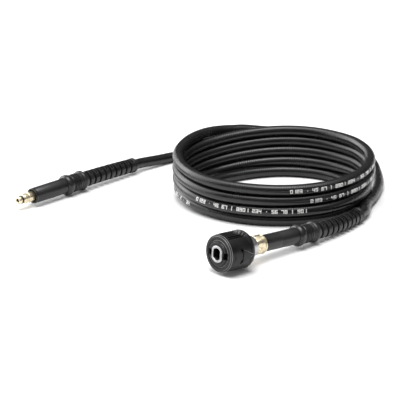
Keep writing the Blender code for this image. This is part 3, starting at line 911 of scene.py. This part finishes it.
def sweep(name, path, radius, sides, look):
    """A tube along the path. Its UVs are the length along it in units of 100 mm, and the turn round it."""
    last = len(path) - 1
    way = [(path[min(i + 1, last)] - path[max(i - 1, 0)]).normalized() for i in range(len(path))]
    shape = bmesh.new()
    layer = shape.loops.layers.uv.new("UVMap")
    rings, gone = [], 0.0
    for i, (at, along) in enumerate(zip(path, way)):
        if i:
            gone += (path[i] - path[i - 1]).length
        side = UP.cross(along).normalized()
        up = along.cross(side)
        ring = []
        for k in range(sides):
            t = math.tau * k / sides
            ring.append(shape.verts.new(world(at + (side * math.cos(t) + up * math.sin(t)) * radius)))
        rings.append((ring, gone))
    for (ring, s), (after, e) in zip(rings, rings[1:]):
        for k in range(sides):
            n = (k + 1) % sides
            face = shape.faces.new((ring[k], after[k], after[n], ring[n]))
            for loop, uv in zip(face.loops, ((s, k), (e, k), (e, k + 1), (s, k + 1))):
                loop[layer].uv = (uv[0] / 100.0, uv[1] / sides)
    for ring in (rings[0][0][::-1], rings[-1][0]):
        shape.faces.new(ring)
    return keep(name, shape, look)


hose = sweep("hose", hose_path, HOSE_RADIUS + HOSE_FULLNESS, HOSE_SIDES, rubber)
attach(hose, "hose")
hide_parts("hose_coil", "hose_tail_inlet", "hose_tail_outlet")

# Pale print on the hose: plain figures, dots and bars. A figure is made of bars, each from one place to
# another in shares of the figure's width and height.
BARS = {
    "t": ((0, 1), (1, 1)),
    "m": ((0, 0.5), (1, 0.5)),
    "b": ((0, 0), (1, 0)),
    "l": ((0, 0.5), (0, 1)),
    "L": ((0, 0), (0, 0.5)),
    "r": ((1, 0.5), (1, 1)),
    "R": ((1, 0), (1, 0.5)),
    "|": ((0.5, -0.1), (0.5, 1.1)),
}
FIGURES = {
    "0": "tblLrR", "1": "rR", "2": "tmbrL", "3": "tmbrR", "4": "mlrR", "5": "tmblR", "6": "tmblLR",
    "7": "trR", "8": "tmblLrR", "9": "tmblrR", "|": "|", ".": ".", " ": "",
}
FIGURE_WIDE, FIGURE_HIGH, FIGURE_STEP, STROKE = 2.2, 3.5, 3.6, 0.95
DOT_LEFT, DOT = 0.8, 0.9
INK_HIGH = 0.1  # over the hose
PATCH_LONG, PATCH_HIGH = 1.2, 0.8  # the most for one face of the ink
OUTER_TURN = 100.0  # the print is on turns at least this far from the coil's middle
BEARING_WEIGHT = 110.0  # millimetres for a radian


def near(bearing, height):
    """The point of the hose's path that lies nearest to this bearing and height on the outer turns."""
    turn = math.radians(bearing)

    def off(p):
        swing = math.atan2(p.y, p.x) - turn
        away = abs(math.atan2(math.sin(swing), math.cos(swing))) * BEARING_WEIGHT
        return away + abs(p.z - height) + max(0.0, OUTER_TURN - p.xy.length)

    return min(range(len(hose_path)), key=lambda i: off(hose_path[i]))


def printed(shape, words, bearing, height, lean):
    """Figures that start at this place and run to the right for someone who looks at the coil from outside,
    with their middle this many degrees below the top of the hose."""
    start = near(bearing, height)
    step = (hose_path[1] - hose_path[0]).length

    def at(along, up):
        share = start + along / step
        i = int(share)
        here = hose_path[i].lerp(hose_path[i + 1], share - i)
        way = (hose_path[i + 1] - hose_path[i - 1]).normalized()
        side = UP.cross(way).normalized()
        t = math.radians(90.0 + lean) - up / HOSE_RADIUS
        out = side * math.cos(t) + way.cross(side) * math.sin(t)
        return shape.verts.new(world(here + out * (HOSE_RADIUS + INK_HIGH)))

    def patch(low, high, bottom, top):
        long, tall = high - low, top - bottom
        across, rows = max(1, round(long / PATCH_LONG)), max(1, round(tall / PATCH_HIGH))
        grid = [
            [at(low + long * k / across, bottom + tall * row / rows) for k in range(across + 1)]
            for row in range(rows + 1)
        ]
        for row, above in zip(grid, grid[1:]):
            for k in range(across):
                shape.faces.new((row[k], row[k + 1], above[k + 1], above[k]))

    for place, figure in enumerate(words):
        left, low = place * FIGURE_STEP, -FIGURE_HIGH / 2
        for bar in FIGURES[figure]:
            if bar == ".":
                patch(left + DOT_LEFT, left + DOT_LEFT + DOT, -DOT / 2, DOT / 2)
                continue
            (x0, y0), (x1, y1) = BARS[bar]
            patch(
                left + x0 * FIGURE_WIDE - STROKE / 2,
                left + x1 * FIGURE_WIDE + STROKE / 2,
                low + y0 * FIGURE_HIGH - STROKE / 2,
                low + y1 * FIGURE_HIGH + STROKE / 2,
            )


# Each run of figures, with its bearing in degrees, its height and how far below the hose's top it stands
WORDS = "0123 . 45 67 | 8901 234 . 56 78 | 901 2 . 34"
PRINTS = (
    (WORDS, -82.0, 44.0, 90.0),
    (WORDS[:30], -70.5, 31.5, 92.0),
    (WORDS[:37], -140.5, 21.5, 76.0),
    (WORDS[-17:], -179.0, 13.5, 84.0),
)
ink = bmesh.new()
for words, bearing, height, lean in PRINTS:
    printed(ink, words, bearing, height, lean)
prints = keep("hose_print", ink, print_ink(), smooth=60.0)
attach(prints, "hose")

# Floor and light
FLOOR_HALF = 6.0  # metres
FLOOR_BELOW = 0.0003  # metres
SKY = 0.09
corners = [(FLOOR_HALF * x, FLOOR_HALF * y, 0.0) for x, y in ((-1, -1), (1, -1), (1, 1), (-1, 1))]
floor_mesh = bpy.data.meshes.new("floor")
floor_mesh.from_pydata(corners, [], [(0, 1, 2, 3)])
floor = bpy.data.objects.new("floor", floor_mesh)
bpy.context.scene.collection.objects.link(floor)
floor.location.z = -FLOOR_BELOW
floor_look = Look("floor", 0.9)
floor_look.set("Base Color", (0.92, 0.92, 0.92, 1.0))
floor_look.set("Specular IOR Level", 0.0)
floor_mesh.materials.append(floor_look.made)

sky = bpy.data.worlds.new("sky")
bpy.context.scene.world = sky
sky.use_nodes = True
background = sky.node_tree.nodes["Background"]
background.inputs["Color"].default_value = (1.0, 1.0, 1.0, 1.0)
background.inputs["Strength"].default_value = SKY


def softbox(name, side, toward, up, wide, power):
    """Soft light from far away, seen from the object as a disc this many degrees wide."""
    data = bpy.data.lights.new(name, "SUN")
    data.energy = power
    data.angle = math.radians(wide)
    lamp = bpy.data.objects.new(name, data)
    bpy.context.scene.collection.objects.link(lamp)
    lamp.rotation_euler = Vector((side, toward, up)).to_track_quat("Z", "Y").to_euler()


softbox("top_light", -0.02, -0.16, 1.0, 40.0, 2.8)
softbox("wide_light", 0.0, -0.1, 1.0, 110.0, 0.9)
softbox("left_light", -0.76, 0.42, 0.34, 56.0, 3.4)
bpy.context.scene.view_settings.view_transform = "Standard"
